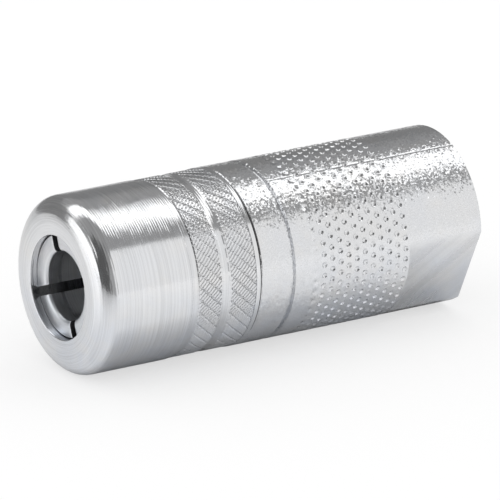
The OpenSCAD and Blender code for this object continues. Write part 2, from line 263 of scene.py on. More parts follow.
class FinishSettings(PropertyGroup):
    """Colours and grain of the finishes."""

    zinc: colour("Zinc", "Plain tone of the plated steel", (0.79, 0.79, 0.79))
    zinc_cool: colour("Cool zinc", "Bluish tone of the plating", (0.71, 0.745, 0.81))
    zinc_warm: colour("Warm zinc", "Yellowish tone of the plating", (0.82, 0.79, 0.75))
    jaw: colour("Jaw steel", "Plain tone of the jaws", (0.75, 0.755, 0.77))
    jaw_cool: colour("Cool jaw steel", "Bluish tone of the jaws", (0.62, 0.67, 0.73))
    # The jaws' slot sides get a near-black tone as painted shade of the narrow slots
    cut: colour("Cut steel", "Plain tone of the jaws' sawn sides", (0.14, 0.142, 0.15))
    inner: colour("Inner steel", "Plain tone of the inner pieces", (0.6, 0.605, 0.62))
    wire: colour("Spring wire", "Plain tone of the springs", (0.42, 0.43, 0.45))
    ball: colour("Ball steel", "Plain tone of the ball", (0.8, 0.81, 0.83))
    # The seals' tones are lightened past dark rubber as painted light, for the light that doesn't reach inside
    # the mouth
    rubber: colour("Rubber", "Plain tone of the seals", (0.2, 0.202, 0.2))
    rubber_rubbed_and_lit: colour("Worn rubber", "Tone of rubbed rubber", (0.8, 0.802, 0.8))
    tilt: number("Crystal tilt", "How far the crystals of the grain lean at random", 1.15)
    feed: length("Feed", "Distance between the ridges that the lathe leaves", 0.225)
    seam_roll: angle("Seam roll", "Roll of the fine line along the body", 114.2)
    seam_width: length("Seam width", "Half width of that line", 0.14)
    seam_start: length("Seam start", "Distance of that line's front end from the nose face", 18.0)


class StudioSettings(PropertyGroup):
    """Camera, floor and light."""

    azimuth: angle("Azimuth", "Turn of the camera round the part", -32.459)
    elevation: angle("Elevation", "Height of the camera above the horizon", 18.396)
    distance: length("Distance", "Distance of the camera from its target", 600.0)
    target: FloatVectorProperty(
        name="Target", description="Point that the camera looks at",
        default=(-0.023224, -0.008026, 0.003084), size=3, subtype="XYZ", unit="LENGTH",
    )
    lens: FloatProperty(
        name="Lens", description="Focal length on a 36 mm sensor, in millimetres", default=530.09
    )
    floor: colour("Floor", "Colour of the floor", (0.96, 0.96, 0.96))
    floor_reach: length("Floor reach", "Radius of the floor", 300.0)
    floor_rough: share("Floor roughness", "Roughness of the floor where the metal mirrors it", 0.15)
    # Floor shade and the lengths and shares below it set a painted shadow: the floor's colour, where the metal
    # mirrors it, darkened beside the part
    shade: share("Floor shade", "How much of the floor the metal mirrors close to the part", 0.85)
    shade_near: length("Shade near", "Distance from the axis up to which that shade is full", 5.5)
    shade_far: length("Shade far", "Distance from the axis at which that shade ends", 9.5)
    shade_fade: length("Shade fade", "Length behind the nose face over which that shade begins", 2.0)
    wide_share: share("Wide share", "Share of the distance that counts where the shade is wider", 0.75)
    wide_end: length("Wide end", "Place along the axis up to which the shade is wider", -7.0)
    narrow_start: length("Narrow start", "Place along the axis from which it has its plain width", -3.5)
    gloss: number("Floor gloss", "Shine of the floor where the metal mirrors it", 0.5)
    glow: share("Floor glow", "Share of the floor's white that the part's shadow doesn't reach", 0.6)
    lift: number("Floor lift", "Strength of that white", 0.64)
    bounce: number("Floor bounce", "Lift of the floor where the metal mirrors it", 0.13)
    ambient: number("Ambient", "Strength of the world's light on matt surfaces", 0.96)
    thrown: number("Thrown", "Strength of the world's light that the metal throws on the floor", 0.05)
    tilt: angle("Tilt", "Turn of the overhead softbox about the vertical", -31.0)
    height: length("Height", "Height of the overhead lamps", 750.0)
    softbox: number("Softbox", "Brightness of the softbox overhead", 1.3)
    side: number("Side softbox", "Brightness of the softbox at the nose's side", 0.5)
    ceiling: number("Ceiling", "Brightness of the ceiling that the metal reflects", 0.36)
    back: number("Back wall", "Brightness of the back wall that the metal reflects", 0.25)
    left: number("Left wall", "Brightness of the wall at the front left", 0.12)
    front: number("Front wall", "Brightness of the wall in front", 0.45)


# Node trees

class Kit:
    """Short ways to add and link the nodes of one tree."""

    def __init__(self, tree):
        self.tree = tree

    def add(self, kind, **settings):
        node = self.tree.nodes.new(kind)
        for key, value in settings.items():
            setattr(node, key, value)
        return node

    def feed(self, socket, value):
        """Links a value that is a socket, or sets it on the socket itself."""
        if isinstance(value, bpy.types.NodeSocket):
            self.tree.links.new(value, socket)
        else:
            socket.default_value = value

    def node(self, kind, values, **settings):
        """Adds a node and feeds its inputs by name or by place."""
        node = self.add(kind, **settings)
        for key, value in values.items():
            self.feed(node.inputs[key], value)
        return node

    def first(self, kind, values=(), **settings):
        """The first output of a new node."""
        return self.node(kind, dict(values), **settings).outputs[0]

    def math(self, operation, *values):
        return self.first("ShaderNodeMath", enumerate(values), operation=operation)

    def vector(self, operation, *values):
        return self.first("ShaderNodeVectorMath", enumerate(values), operation=operation)

    def plus(self, total, *values):
        for value in values:
            total = self.math("ADD", total, value)
        return total

    def times(self, product, *values):
        for value in values:
            product = self.math("MULTIPLY", product, value)
        return product

    def minus(self, one, other):
        return self.math("SUBTRACT", one, other)

    def over(self, one, other):
        return self.math("DIVIDE", one, other)

    def split(self, vector):
        return self.node("ShaderNodeSeparateXYZ", {"Vector": vector}).outputs[:3]

    def join(self, x, y, z):
        return self.first("ShaderNodeCombineXYZ", {"X": x, "Y": y, "Z": z})

    def polar(self, x, radius, turn):
        """A point given along the axis, out from it and round it."""
        y = self.times(self.math("COSINE", turn), radius)
        z = self.times(self.math("SINE", turn), radius)
        return self.join(x, y, z)

    def spread(self, value, low, high, to_low=0.0, to_high=1.0):
        """Maps a range onto another, with nothing past its ends."""
        return self.first("ShaderNodeMapRange", {
            "Value": value, "From Min": low, "From Max": high, "To Min": to_low, "To Max": to_high,
        })


def rule_tree(name, made=("Geometry", "Geometry"), **inputs):
    tree = bpy.data.node_groups.new(name, "GeometryNodeTree")
    for kind, labels in inputs.items():
        for label in labels:
            tree.interface.new_socket(label, in_out="INPUT", socket_type=f"NodeSocket{kind}")
    label, kind = made
    tree.interface.new_socket(label, in_out="OUTPUT", socket_type=f"NodeSocket{kind}")
    kit = Kit(tree)
    source = kit.add("NodeGroupInput")
    result = kit.add("NodeGroupOutput")
    return tree, kit, source.outputs, result.inputs


def add_rule(obj, tree, values):
    """Puts a tree on an object and sets its inputs by their identifiers."""
    modifier = obj.modifiers.new(tree.name, "NODES")
    modifier.node_group = tree
    left = dict(values)
    for item in tree.interface.items_tree:
        if item.item_type == "SOCKET" and item.in_out == "INPUT" and item.name in left:
            modifier[item.identifier] = left.pop(item.name)
    if left:
        raise RuntimeError(f"{tree.name} has no input named {sorted(left)}")


def helix_tree():
    """Share of the depth of helical grooves at each point: 0 on the lands and 1 at the roots."""
    tree, kit, source, result = rule_tree(
        "helical grooves",
        ("Share", "Float"),
        Float=["Origin", "Lines", "Axial Pitch", "Land", "Root"],
    )
    x, y, z = kit.split(kit.first("GeometryNodeInputPosition"))
    around = kit.times(kit.over(kit.math("ARCTAN2", z, y), TURN), source["Lines"])
    along = kit.over(kit.minus(x, source["Origin"]), source["Axial Pitch"])
    wave = kit.times(kit.math("PINGPONG", kit.plus(around, along, 0.5), 0.5), 2.0)
    kit.feed(result["Share"], kit.spread(wave, source["Land"], source["Root"]))
    return tree


def groove_share(kit, helix, origin, lines, pitch, land, root):
    """The share that the tree of helical grooves gives."""
    values = {"Origin": origin, "Lines": lines, "Axial Pitch": pitch, "Land": land, "Root": root}
    return kit.first("GeometryNodeGroup", values, node_tree=helix)


def move_out(kit, geometry, distance):
    """Moves points away from the axis by a distance, or towards it by a negative one."""
    _, y, z = kit.split(kit.first("GeometryNodeInputPosition"))
    offset = kit.polar(0.0, distance, kit.math("ARCTAN2", z, y))
    return kit.first("GeometryNodeSetPosition", {"Geometry": geometry, "Offset": offset})


def named(kit, attribute, data_type="FLOAT"):
    node = kit.node("GeometryNodeInputNamedAttribute", {"Name": attribute}, data_type=data_type)
    return node.outputs["Attribute"]


def finish_rule(kit, geometry, source, result):
    """Ends a tree with plain geometry and its material."""
    real = kit.first("GeometryNodeRealizeInstances", {"Geometry": geometry})
    values = {"Geometry": real, "Material": source["Material"]}
    kit.feed(result["Geometry"], kit.first("GeometryNodeSetMaterial", values))


def knurl_tree(helix):
    """Crossed knurl on the points whose grip attribute is above 0."""
    tree, kit, source, result = rule_tree(
        "crossed knurl",
        Geometry=["Geometry"],
        Float=[
            "Origin", "Axial Pitch", "Lines", "Land", "Depth", "Cross Land", "Cross Depth",
            "Deep Lines", "Deep Land", "Deep Depth",
        ],
        Material=["Material"],
    )
    pitch = source["Axial Pitch"]
    back_pitch = kit.times(pitch, -1.0)
    deep_pitch = kit.times(back_pitch, kit.over(source["Lines"], source["Deep Lines"]))
    kinds = (("", "Lines", pitch), ("Cross ", "Lines", back_pitch), ("Deep ", "Deep Lines", deep_pitch))
    cuts = []
    for kind, lines, slant in kinds:
        form = groove_share(kit, helix, source["Origin"], source[lines], slant, source[kind + "Land"], 1.0)
        cuts.append(kit.times(form, source[kind + "Depth"]))
    inward = kit.times(kit.plus(*cuts), named(kit, "grip"), -1.0)
    finish_rule(kit, move_out(kit, source["Geometry"], inward), source, result)
    return tree


def thread_tree(helix):
    """Screw thread on the points whose thread attribute is above 0."""
    tree, kit, source, result = rule_tree(
        "inlet thread",
        Geometry=["Geometry"],
        Float=["Pitch", "Depth", "Crest", "Root"],
        Material=["Material"],
    )
    turn = kit.times(source["Pitch"], -1.0)
    form = groove_share(kit, helix, 0.0, 1.0, turn, source["Crest"], source["Root"])
    outward = kit.times(form, source["Depth"], named(kit, "thread"))
    finish_rule(kit, move_out(kit, source["Geometry"], outward), source, result)
    return tree


def dimple_tree():
    """Fills the gap in the body's shell with staggered columns of dimple tiles and welds them in."""
    tree, kit, source, result = rule_tree(
        "dimpled band",
        Geometry=["Geometry"],
        Object=["Tile"],
        Int=["Columns", "Around", "Faded Columns", "Seed"],
        Float=["First Column", "Column Pitch", "Roll", "Depth", "Least Depth", "Front Depth", "Weld"],
        Material=["Material", "Flat Material", "Turned Material"],
    )
    around = source["Around"]
    index = kit.first("GeometryNodeInputIndex")
    column = kit.math("FLOOR", kit.over(kit.plus(index, 0.5), around))
    place = kit.minus(index, kit.times(column, around))
    stagger = kit.times(kit.math("MODULO", column, 2.0), 0.5)
    turns = kit.over(kit.plus(place, stagger), around)
    rolled = kit.plus(kit.times(turns, TURN), source["Roll"])
    along = kit.math("MULTIPLY_ADD", column, source["Column Pitch"], source["First Column"])
    points = kit.first("GeometryNodePoints", {
        "Count": kit.times(source["Columns"], around), "Position": kit.join(along, 0.0, 0.0),
    })
    turned = kit.first("FunctionNodeEulerToRotation", {"Euler": kit.join(rolled, 0.0, 0.0)})
    tile = kit.node("GeometryNodeObjectInfo", {"Object": source["Tile"]}).outputs["Geometry"]
    tiles = kit.first("GeometryNodeInstanceOnPoints", {
        "Points": points, "Instance": tile, "Rotation": turned,
    })
    chance = kit.node("FunctionNodeRandomValue", {
        2: source["Least Depth"], 3: 1.0, "ID": index, "Seed": source["Seed"],
    }, data_type="FLOAT").outputs[1]
    fade = kit.spread(column, 0.0, source["Faded Columns"], source["Front Depth"], 1.0)
    stored = kit.first("GeometryNodeStoreNamedAttribute", {
        "Geometry": tiles, "Name": "pit_share", "Value": kit.times(chance, fade),
    }, data_type="FLOAT", domain="INSTANCE")
    real = kit.first("GeometryNodeRealizeInstances", {"Geometry": stored})
    inward = kit.times(named(kit, "pit"), named(kit, "pit_share"), source["Depth"], -1.0)
    both = kit.add("GeometryNodeJoinGeometry")
    for part in (move_out(kit, real, inward), source["Geometry"]):
        kit.feed(both.inputs[0], part)
    whole = kit.first("GeometryNodeMergeByDistance", {
        "Geometry": both.outputs[0], "Distance": source["Weld"],
    })
    whole = kit.first("GeometryNodeSetMaterial", {"Geometry": whole, "Material": source["Material"]})
    finish = named(kit, "finish", "INT")
    for code, label in ((MILLED, "Flat Material"), (TURNED, "Turned Material")):
        chosen = kit.math("COMPARE", finish, float(code), 0.1)
        whole = kit.first("GeometryNodeSetMaterial", {
            "Geometry": whole, "Selection": chosen, "Material": source[label],
        })
    kit.feed(result["Geometry"], whole)
    return tree


def coil_tree():
    """Compression spring along the axis with closed end turns."""
    tree, kit, source, result = rule_tree(
        "coil spring",
        Geometry=["Geometry"],
        Float=["Start", "Length", "Mean Radius", "Wire", "Open Turns", "Closed Pitch"],
        Int=["Turn Points", "Wire Points"],
        Material=["Material"],
    )
    wire = source["Wire"]
    open_turns = source["Open Turns"]
    turns = kit.plus(open_turns, 2.0)
    steps = kit.math("CEIL", kit.times(turns, source["Turn Points"]))
    line = kit.first("GeometryNodeMeshLine", {"Count": kit.plus(steps, 1.0)})
    turn = kit.times(kit.over(kit.first("GeometryNodeInputIndex"), steps), turns)
    closed = kit.times(wire, source["Closed Pitch"])
    open_run = kit.minus(kit.minus(source["Length"], wire), kit.times(closed, 2.0))
    open_pitch = kit.over(open_run, open_turns)
    open_part = kit.math("MINIMUM", kit.math("MAXIMUM", kit.minus(turn, 1.0), 0.0), open_turns)
    closed_part = kit.times(kit.minus(turn, open_part), closed)
    rise = kit.math("MULTIPLY_ADD", open_part, open_pitch, closed_part)
    start = kit.math("MULTIPLY_ADD", wire, 0.5, source["Start"])
    around = kit.math("MULTIPLY_ADD", turn, TURN, -TURN / 4)
    centre = kit.polar(kit.plus(start, rise), source["Mean Radius"], around)
    wound = kit.first("GeometryNodeSetPosition", {"Geometry": line, "Position": centre})
    path = kit.first("GeometryNodeMeshToCurve", {"Mesh": wound})
    section = kit.first("GeometryNodeCurvePrimitiveCircle", {
        "Resolution": source["Wire Points"], "Radius": kit.times(wire, 0.5),
    })
    solid = kit.first("GeometryNodeCurveToMesh", {
        "Curve": path, "Profile Curve": section, "Fill Caps": True,
    })
    finish_rule(kit, solid, source, result)
    return tree


# Meshes

GRAINED = 0
MILLED = 1
TURNED = 2
SHARP = math.radians(32)
KNURL_SHARP = math.radians(14)
MERGE = 0.0005 * MM
DEGENERATE = 0.0002 * MM
WELD = 0.002 * MM
EDGE_ANGLE = math.radians(35)
EDGE_STEPS = 8
LIP_STEPS = 6
FACE_STEPS = 5
LEAD_STEPS = 6
FACE_TURN = 75
NOSE_STEPS = 18
BAND_STEPS = 6
ROW_GAP = 0.3
LEAST_REACH = 0.1
REACH_SLACK = 1e-6


def spot(distance, radius, turn):
    """A point given by its distance from the nose face, its radius and its turn about the axis."""
    return (NOSE_X + distance, radius * math.cos(turn), radius * math.sin(turn))


class Shell:
    """Rings of points about the axis and the faces between them."""

    def __init__(self):
        self.points = []
        self.faces = []
        self.finishes = []
        self.marks = []

    def ring(self, distances, radii, angles, mark=0.0):
        """Adds a ring and returns its points' numbers; a distance or radius holds for all or is a list."""
        start = len(self.points)
        size = len(angles)
        distances = distances if isinstance(distances, list) else [distances] * size
        radii = radii if isinstance(radii, list) else [radii] * size
        self.points += [spot(*place) for place in zip(distances, radii, angles)]
        self.marks += [mark] * size
        return range(start, start + size)

    def rings(self, profile, angles):
        return [self.ring(distance, radius, angles) for distance, radius in profile]

    def bridge(self, one, other, finish=GRAINED, chosen=None):
        """Adds the faces between two rings; the finer has an odd number of points for each of the coarser."""
        coarse, fine = (one, other) if len(one) <= len(other) else (other, one)
        ratio = len(fine) // len(coarse)
        for k in range(len(coarse)):
            a = coarse[k]
            b = coarse[(k + 1) % len(coarse)]
            run = [fine[(k * ratio + i) % len(fine)] for i in range(ratio + 1)]
            for i in range(ratio):
                if i == ratio // 2:
                    self.faces.append((a, b, run[i + 1], run[i]))
                else:
                    self.faces.append((a if i < ratio // 2 else b, run[i + 1], run[i]))
            own = finish if chosen is None or chosen[k] else GRAINED
            self.finishes += [own] * ratio

    def chain(self, rings, finish=GRAINED):
        for one, other in zip(rings, rings[1:]):
            self.bridge(one, other, finish)

    def make(self, name, mark_name):
        """A mesh object with the marks on its points and the finishes on its faces."""
        obj = mesh_object(name, self.points, self.faces)
        store(obj.data, mark_name, "FLOAT", "POINT", self.marks)
        store(obj.data, "finish", "INT", "FACE", self.finishes)
        return obj


def link(obj):
    bpy.context.scene.collection.objects.link(obj)
    return obj


def mesh_object(name, points, faces):
    mesh = bpy.data.meshes.new(name)
    mesh.from_pydata(points, [], faces)
    return link(bpy.data.objects.new(name, mesh))


def store(mesh, name, kind, domain, values):
    """Stores values on a mesh under a name."""
    mesh.attributes.new(name, kind, domain).data.foreach_set("value", values)


def even_angles(number_of, roll=0.0):
    return [roll + TURN * k / number_of for k in range(number_of)]


def settle(obj):
    """Turns what an object's modifiers make into its plain mesh."""
    depsgraph = bpy.context.evaluated_depsgraph_get()
    made = bpy.data.meshes.new_from_object(
        obj.evaluated_get(depsgraph), preserve_all_data_layers=True, depsgraph=depsgraph
    )
    obj.modifiers.clear()
    old = obj.data
    obj.data = made
    bpy.data.meshes.remove(old)
    made.name = obj.name


def mend(mesh):
    """Merges doubles and turns the faces outwards."""
    work = bmesh.new()
    work.from_mesh(mesh)
    bmesh.ops.remove_doubles(work, verts=work.verts, dist=MERGE)
    bmesh.ops.dissolve_degenerate(work, edges=work.edges, dist=DEGENERATE)
    bmesh.ops.recalc_face_normals(work, faces=work.faces)
    work.to_mesh(mesh)
    work.free()


def clean(obj, smooth_below=SHARP):
    """Mends the mesh, shades it smooth with crisp edges and drops the marks that its trees read."""
    mesh = obj.data
    mend(mesh)
    mesh.shade_smooth()
    mesh.set_sharp_from_angle(angle=smooth_below)
    for attribute in ("grip", "thread", "pit", "pit_share", "finish"):
        if attribute in mesh.attributes:
            mesh.attributes.remove(mesh.attributes[attribute])


def seat(obj, body, slot, *nodes):
    """Lets a finished piece ride on a body and stand for its solids."""
    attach(obj, body)
    if nodes:
        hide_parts(*nodes)


def arc(centre_s, centre_r, depth, width, start, end, steps):
    """Points of a round in the plane of the axis, as distances from the nose face and radii."""
    found = []
    for k in range(steps + 1):
        turn = math.radians(start + (end - start) * k / steps)
        found.append((centre_s - depth * math.cos(turn), centre_r + width * math.sin(turn)))
    return found


def groove(start, end, depth, side, radius):
    """Profile of a groove with sloping sides, as distances from the nose face and radii."""
    return [
        (start, radius),
        (start + side, radius - depth),
        (end - side, radius - depth),
        (end, radius),
    ]


# Materials

LATHE_DEPTH = 0.01 * MM
RIDGE_DEPTH = 0.0036 * MM
WAVE_DEPTH = 0.009 * MM
CRYSTAL_DEPTH = 0.006 * MM
SEAM_DEPTH = 0.02 * MM
SEAM_FADE = 0.1 * MM
MILL_DEPTH = 0.001 * MM
TOOL_DEPTH = 0.004 * MM
WIRE_DEPTH = 0.002 * MM
POLISH_DEPTH = 0.0002 * MM
SKIN_DEPTH = 0.02 * MM
STREAK = 0.03
SPOT_DETAIL = 4.0
NOISE_LOW = 0.3
NOISE_HIGH = 0.7
# Heights over which the painted cool tint of shade grows towards the bottom
SHADE_TINT_TOP = 1.0 * MM
SHADE_TINT_BOTTOM = -4.0 * MM
DULL = (0.36, 0.36, 0.37)
DARK_SHARE = 0.72


def new_material(name):
    """A material with its kit and its Object coordinates, in place of an older one of its name."""
    older = bpy.data.materials.get(name)
    if older:
        bpy.data.materials.remove(older)
    material = bpy.data.materials.new(name)
    material.use_nodes = True
    kit = Kit(material.node_tree)
    return material, kit, kit.add("ShaderNodeTexCoord").outputs["Object"]


def coat(material, base, roughness, normal, metallic=1.0):
    """Feeds a material's shader and returns the material."""
    kit = Kit(material.node_tree)
    inputs = material.node_tree.nodes["Principled BSDF"].inputs
    values = {"Base Color": base, "Roughness": roughness, "Normal": normal, "Metallic": metallic}
    for name, value in values.items():
        kit.feed(inputs[name], value)
    return material


def noise(kit, vector, scale, detail=2.0, rough=0.6, distortion=0.0):
    return kit.first("ShaderNodeTexNoise", {
        "Vector": vector, "Scale": scale, "Detail": detail, "Roughness": rough, "Distortion": distortion,
    })


def between(kit, pattern, low, high):
    """A value from low to high over the usual range of a noise."""
    return kit.spread(pattern, NOISE_LOW, NOISE_HIGH, low, high)


def tone(kit, amount, one, other):
    """A colour between two, by an amount."""
    values = {0: amount}
    for key, value in ((6, one), (7, other)):
        values[key] = value if isinstance(value, bpy.types.NodeSocket) else (*value, 1.0)
    return kit.node("ShaderNodeMix", values, data_type="RGBA").outputs[2]


def bump(kit, height, depth, normal=None):
    """A normal bent by a height, on top of another normal where one is given."""
    values = {"Height": height, "Distance": depth, "Strength": 1.0}
    if normal is not None:
        values["Normal"] = normal
    return kit.first("ShaderNodeBump", values)


def turning(kit, place):
    """Coordinates in which lathe lines run: along the axis, out from it, and slowly round it."""
    x, y, z = kit.split(place)
    radius = kit.math("SQRT", kit.plus(kit.times(y, y), kit.times(z, z)))
    return kit.join(x, radius, kit.times(y, STREAK))


def zinc_tones(finish):
    return finish.zinc, finish.zinc_cool, finish.zinc_warm


def plate(kit, place, grain, tones, warm_most, cool_most=0.9):
    """Colour of plated steel: clouds of its cool and warm tones and fine grain, with a painted cool tint of
    shade that grows towards the bottom.
    """
    plain, cool, warm = tones
    clouds = noise(kit, place, 260.0, detail=3.0, rough=0.55, distortion=0.6)
    shifted = kit.first("ShaderNodeMapping", {"Vector": place, "Location": (0.31, 0.17, 0.05)})
    haze = noise(kit, shifted, 420.0, detail=3.0, distortion=0.4)
    # Painted shade: the cool tone's share grows towards the bottom, as a tint for the shaded floor that the
    # lower side mirrors
    low = kit.spread(kit.split(place)[2], SHADE_TINT_TOP, SHADE_TINT_BOTTOM, 0.35, 1.0)
    cool_and_shade_share = kit.times(kit.spread(clouds, 0.3, 0.65, 0.2, cool_most), low)
    cooled = tone(kit, cool_and_shade_share, plain, cool)
    warmed = tone(kit, kit.spread(haze, 0.5, 0.72, 0.0, warm_most), cooled, warm)
    return tone(kit, between(kit, grain, 0.0, 0.3), warmed, DULL)


def turned_zinc(finish):
    """Plated steel with fine lathe lines."""
    material, kit, place = new_material("turned_zinc")
    lines = turning(kit, place)
    fine = noise(kit, lines, 9000.0)
    broad = noise(kit, lines, 3600.0, rough=0.5)
    spots = noise(kit, place, 900.0, detail=SPOT_DETAIL)
    base = plate(kit, place, fine, zinc_tones(finish), warm_most=0.25)
    feed = kit.plus(kit.over(kit.split(lines)[0], finish.feed / TURN), kit.times(broad, 3.0))
    ridges = kit.times(kit.math("SINE", feed), kit.spread(spots, 0.35, 0.65, 0.1, 1.2))
    rough_lines = bump(kit, fine, LATHE_DEPTH)
    cut_lines = bump(kit, ridges, RIDGE_DEPTH, rough_lines)
    normal = bump(kit, broad, WAVE_DEPTH, cut_lines)
    return coat(material, base, between(kit, spots, 0.11, 0.2), normal)


def grained_zinc(finish, radius):
    """Plated steel with a fine crystalline grain and a fine line along the body."""
    material, kit, place = new_material("grained_zinc")
    grain = noise(kit, place, 12000.0)
    cells = kit.node("ShaderNodeTexVoronoi", {"Vector": place, "Scale": 7500.0}).outputs["Color"]
    spots = noise(kit, place, 900.0, detail=SPOT_DETAIL)
    base = plate(kit, place, grain, zinc_tones(finish), warm_most=0.3)
    x, y, z = kit.split(place)
    off = kit.math("ABSOLUTE", kit.minus(kit.math("ARCTAN2", z, y), finish.seam_roll))
    notch = kit.spread(off, 0.0, finish.seam_width / radius)
    front = NOSE_X + finish.seam_start
    behind = kit.spread(x, front, front + SEAM_FADE)
    line = kit.plus(kit.times(kit.minus(notch, 1.0), behind), 1.0)
    sparkle = bump(kit, grain, CRYSTAL_DEPTH, bump(kit, line, SEAM_DEPTH))
    chance = kit.vector("SUBTRACT", cells, (0.5, 0.5, 0.5))
    rare = kit.vector("MULTIPLY", kit.vector("MULTIPLY", chance, chance), chance)
    tilt = kit.vector("MULTIPLY", rare, (finish.tilt, finish.tilt, finish.tilt))
    normal = kit.vector("NORMALIZE", kit.vector("ADD", sparkle, tilt))
    return coat(material, base, between(kit, spots, 0.1, 0.19), normal)


def milled_zinc(finish, flat_roll):
    """Plated steel with the slanted marks of a milling cutter."""
    material, kit, place = new_material("milled_zinc")
    x, y, z = kit.split(place)
    rise = kit.minus(kit.times(z, math.cos(flat_roll)), kit.times(y, math.sin(flat_roll)))
    slanted = kit.join(kit.minus(rise, x), kit.times(kit.plus(rise, x), STREAK), 0.0)
    marks = noise(kit, slanted, 2400.0, detail=3.0)
    bands = noise(kit, slanted, 480.0, rough=0.5)
    base = plate(kit, place, bands, zinc_tones(finish), warm_most=0.15)
    return coat(material, base, between(kit, bands, 0.22, 0.3), bump(kit, marks, MILL_DEPTH))


def jaw_steel(finish):
    """Darker plated steel of the jaws, turned and then slit."""
    material, kit, place = new_material("jaw_zinc")
    fine = noise(kit, turning(kit, place), 9000.0)
    spots = noise(kit, place, 1200.0, detail=SPOT_DETAIL)
    tones = (finish.jaw, finish.jaw_cool, finish.zinc_warm)
    base = plate(kit, place, fine, tones, warm_most=0.2, cool_most=0.7)
    return coat(material, base, between(kit, spots, 0.3, 0.44), bump(kit, fine, TOOL_DEPTH))


def bare_steel(name, plain, rough_low, rough_high, line_depth):
    """Unplated steel of the inner pieces."""
    material, kit, place = new_material(name)
    fine = noise(kit, turning(kit, place), 8000.0)
    spots = noise(kit, place, 800.0, detail=SPOT_DETAIL)
    darker = tuple(DARK_SHARE * value for value in plain)
    base = tone(kit, kit.spread(spots, 0.35, 0.7), plain, darker)
    roughness = between(kit, spots, rough_low, rough_high)
    return coat(material, base, roughness, bump(kit, fine, line_depth))


def seal_rubber(finish):
    """Dark rubber with rubbed streaks, both tones lightened as painted light that stands in for light not
    reaching the seal.
    """
    material, kit, place = new_material("seal_rubber")
    x, y, z = kit.split(place)
    streaked = kit.join(x, y, kit.times(z, 0.2))
    rubbed = noise(kit, streaked, 4200.0, detail=3.0)
    skin = noise(kit, place, 5200.0, detail=3.0)
    # Painted light: the plain tone and the streaks' tone are both lighter than the rubber itself
    base = tone(kit, kit.spread(rubbed, 0.42, 0.62), finish.rubber, finish.rubber_rubbed_and_lit)
    roughness = between(kit, rubbed, 0.5, 0.72)
    return coat(material, base, roughness, bump(kit, skin, SKIN_DEPTH), metallic=0.0)


def light_path(kit):
    """Outputs that tell the kinds of ray, and whether one was mirrored or went through something."""
    path = kit.add("ShaderNodeLightPath").outputs
    return path, kit.math("MAXIMUM", path["Is Glossy Ray"], path["Is Transmission Ray"])


def dress(node, material):
    """Gives a solid that stays in view its finish."""
    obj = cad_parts[node]
    if not obj.material_slots:
        obj.data.materials.append(material)
    for held in obj.material_slots:
        held.material = material


# Operators

class COUPLER_OT_cap(Operator):
    """Builds the nose cap with its two knurled bands"""

    bl_idname = "coupler.build_cap"
    bl_label = "Nose Cap"

    def execute(self, context):
        cap = context.scene.coupler_cap
        grip = context.scene.coupler_grip
        material = turned_zinc(context.scene.coupler_finish)
        fine_count = grip.lines * grip.detail
        if fine_count % cap.segments or fine_count // cap.segments % 2 == 0:
            raise RuntimeError("the knurl needs an odd number of points for each segment of the cap")
        plain = even_angles(cap.segments)
        fine = even_angles(fine_count)
        shell = Shell()
        radius = cap.outer_radius
        band = radius - grip.drop
        outside = self.nose(cap)
        nose_end = outside[-1][0]
        plain_step = (cap.relief_start - nose_end) / BAND_STEPS
        outside += [(nose_end + plain_step * k, radius) for k in range(1, BAND_STEPS)]
        outside += groove(cap.relief_start, grip.front_start, cap.relief_depth, cap.relief_side, radius)[:3]
        rings = shell.rings(outside, plain)
        rings += self.knurl_rings(shell, grip, grip.front_start, grip.front_end, band, fine)
        gap = groove(grip.front_end, grip.rear_start, cap.groove_depth, cap.groove_side, radius)
        rings += shell.rings(gap[1:3], plain)
        rings += self.knurl_rings(shell, grip, grip.rear_start, grip.rear_end, band, fine)
        cone_end = cap.mouth_land + (cap.chamber_radius - cap.mouth_radius) / math.tan(cap.cone_angle)
        rings += shell.rings([
            (grip.rear_end + cap.rim_bevel / 3, radius),
            (cap.rim_end - cap.rim_bevel, radius),
            (cap.rim_end, radius - cap.rim_bevel),
            (cap.rim_end, cap.bore_radius),
            (cap.bore_start, cap.bore_radius),
            (cap.bore_start, cap.chamber_radius),
            (cone_end, cap.chamber_radius),
            (cap.mouth_land, cap.mouth_radius),
        ], plain)
        shell.chain(rings + rings[:1])
        obj = shell.make("cap_shell", "grip")
        add_rule(obj, knurl_tree(helix_tree()), {
            "Origin": NOSE_X + grip.front_start,
            "Axial Pitch": grip.axial_pitch,
            "Lines": float(grip.lines),
            "Land": grip.land,
            "Depth": grip.depth,
            "Cross Land": grip.cross_land,
            "Cross Depth": grip.cross_depth,
            "Deep Lines": float(grip.deep_lines),
            "Deep Land": grip.deep_land,
            "Deep Depth": grip.deep_depth,
            "Material": material,
        })
        settle(obj)
        clean(obj, KNURL_SHARP)
        seat(obj, "housing", "cap_steel", "nose_cap")
        return {"FINISHED"}

    @staticmethod
    def nose(cap):
        """Profile of the nose from the mouth's edge over its crest to the cap's side."""
        edge = cap.edge_round
        lip_start = cap.edge_radius + edge
        lip_width = cap.crest_radius - lip_start
        lip_drop = cap.crest - cap.mouth_edge
        lip = arc(edge - cap.mouth_edge, lip_start, edge, edge, -90, 0, EDGE_STEPS)
        for k in range(1, LIP_STEPS + 1):
            left = 1 - k / LIP_STEPS
            lip.append((lip_drop * left ** 2 - cap.crest, cap.crest_radius - lip_width * left))
        side = cap.outer_radius - cap.crest_radius
        middle = cap.nose_depth - cap.crest
        return lip + arc(middle, cap.crest_radius, cap.nose_depth, side, 0, 90, NOSE_STEPS)[1:]

    @staticmethod
    def knurl_rings(shell, grip, start, end, radius, angles):
        """Close rings over a knurled band in step with its lines, marked where the knurl cuts."""
        row = grip.axial_pitch / grip.detail
        first = math.ceil((start - grip.front_start) / row + ROW_GAP)
        last = math.floor((end - grip.front_start) / row - ROW_GAP)
        found = [shell.ring(start, radius, angles, grip.end_share)]
        for k in range(first, last + 1):
            found.append(shell.ring(grip.front_start + k * row, radius, angles, 1.0))
        found.append(shell.ring(end, radius, angles, grip.end_share))
        return found


